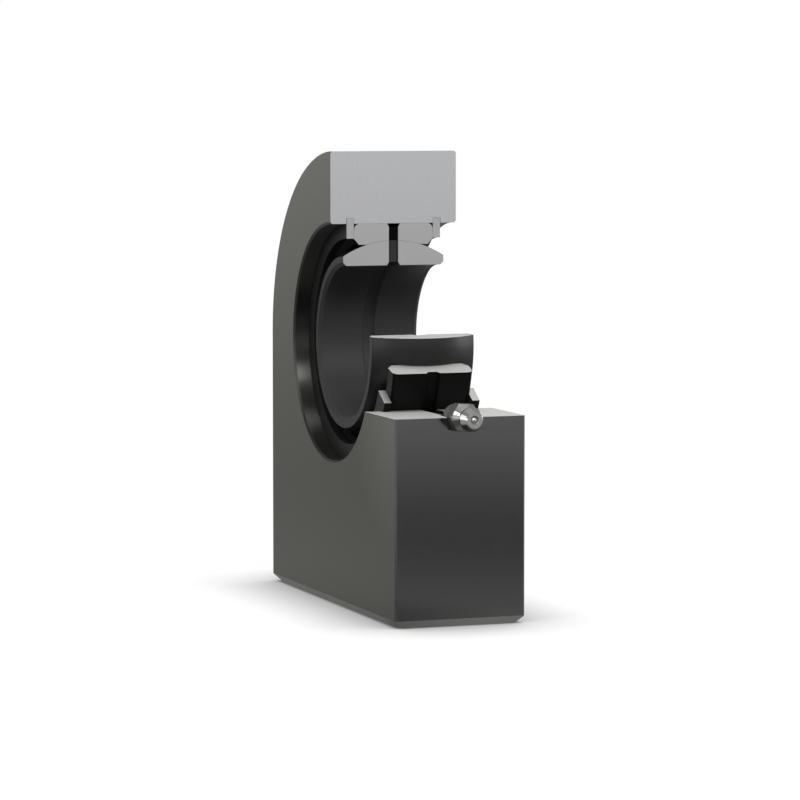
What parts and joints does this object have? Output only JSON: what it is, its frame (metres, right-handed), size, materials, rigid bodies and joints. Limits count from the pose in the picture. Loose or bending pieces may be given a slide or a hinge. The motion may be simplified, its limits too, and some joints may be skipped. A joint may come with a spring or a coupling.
{
  "type": "rod end with rectangular welding shank, cut open",
  "caption": "Steel rod end with a rectangular block shank for welding and a spherical plain bearing, cut open on one side to show the bearing and the oil way.",
  "frame": {"origin": "centre of the spherical plain bearing, on the axis of the bore and half-way through the housing", "axes": "+Y along the bore, away from the front face; +X to the grease nipple; +Z from the weld face to the top of the eye"},
  "size_m": [0.1098, 0.035, 0.119],
  "materials": {
    "housing_steel": "dark machined outside, bright ground section faces",
    "ring_steel": "black phosphated bearing steel, bright ground section faces",
    "spring_steel": "black phosphated spring steel, bright ground section faces",
    "plated_steel": "bright zinc plated",
    "polished_steel": "polished"
  },
  "bodies": {
    "housing": {"housing": "housing_steel", "outer_ring": "ring_steel", "front_retaining_ring": "spring_steel", "rear_retaining_ring": "spring_steel", "nipple_body": "plated_steel", "nipple_spring": "polished_steel"},
    "inner_ring": {"inner_ring": "ring_steel"},
    "nipple_ball": {"nipple_ball": "polished_steel"}
  },
  "joints": [
    {"name": "inner_ring_turn", "type": "hinge", "parent": "housing", "child": "inner_ring", "pos_m": [0, 0, 0], "axis": [0, 1, 0], "continuous": true},
    {"name": "nipple_ball_push", "type": "slide", "parent": "housing", "child": "nipple_ball", "axis": [-1, 0, 0], "range_m": [0, 0.001], "stiffness_N_per_m": 400, "springref_m": -0.0005, "deforming": ["nipple_spring"]}
  ]
}
